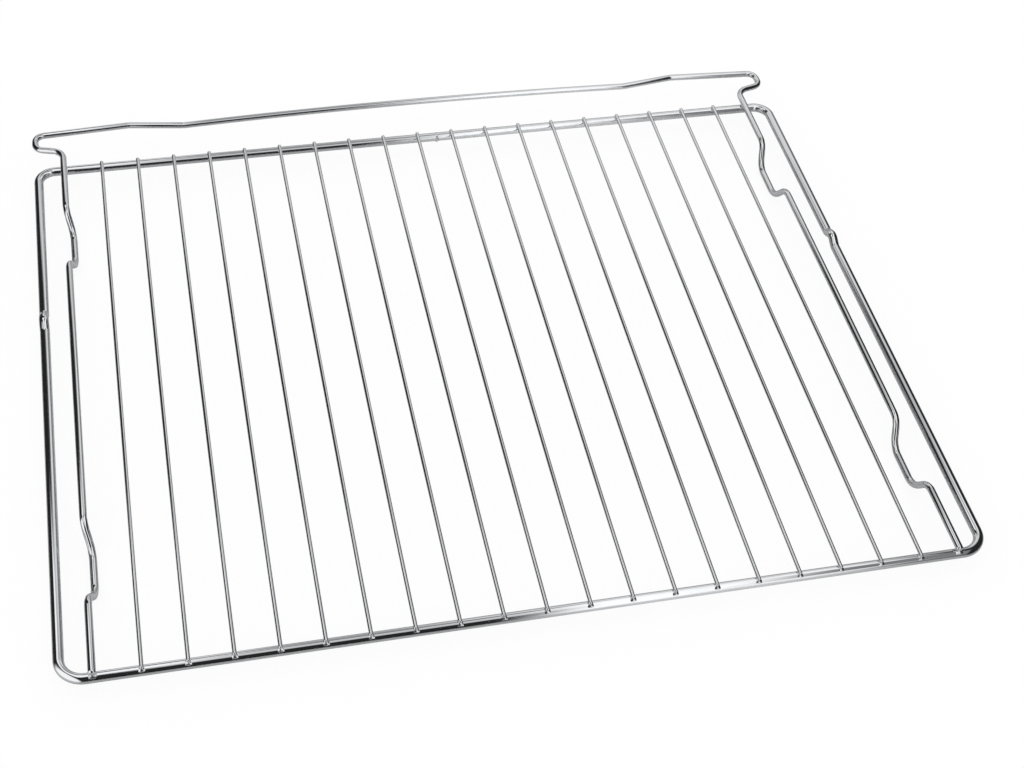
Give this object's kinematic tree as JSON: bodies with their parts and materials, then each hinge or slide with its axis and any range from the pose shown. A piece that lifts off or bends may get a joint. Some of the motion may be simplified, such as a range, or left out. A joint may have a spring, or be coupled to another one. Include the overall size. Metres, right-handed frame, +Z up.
{
  "type": "oven shelf rack",
  "caption": "Flat chromed wire oven shelf: a rounded rod frame, parallel thin cross wires, and side wires with dipped feet and ears that carry a rear stop bow.",
  "frame": {"origin": "middle of the rack's overall width and depth, on the surface that its feet stand on", "axes": "+X to the right along the front rail, +Y from the front rail to the rear bow, +Z up"},
  "size_m": [0.465, 0.4055, 0.0158],
  "materials": {
    "chromed_steel": "bright chrome plate over welded steel wire"
  },
  "bodies": {
    "root": {"outer_frame": "chromed_steel", "support_wire": "chromed_steel", "cross_wire_01": "chromed_steel", "cross_wire_02": "chromed_steel", "cross_wire_03": "chromed_steel", "cross_wire_04": "chromed_steel", "cross_wire_05": "chromed_steel", "cross_wire_06": "chromed_steel", "cross_wire_07": "chromed_steel", "cross_wire_08": "chromed_steel", "cross_wire_09": "chromed_steel", "cross_wire_10": "chromed_steel", "cross_wire_11": "chromed_steel", "cross_wire_12": "chromed_steel", "cross_wire_13": "chromed_steel", "cross_wire_14": "chromed_steel", "cross_wire_15": "chromed_steel", "cross_wire_16": "chromed_steel", "cross_wire_17": "chromed_steel", "cross_wire_18": "chromed_steel", "cross_wire_19": "chromed_steel"}
  },
  "joints": []
}
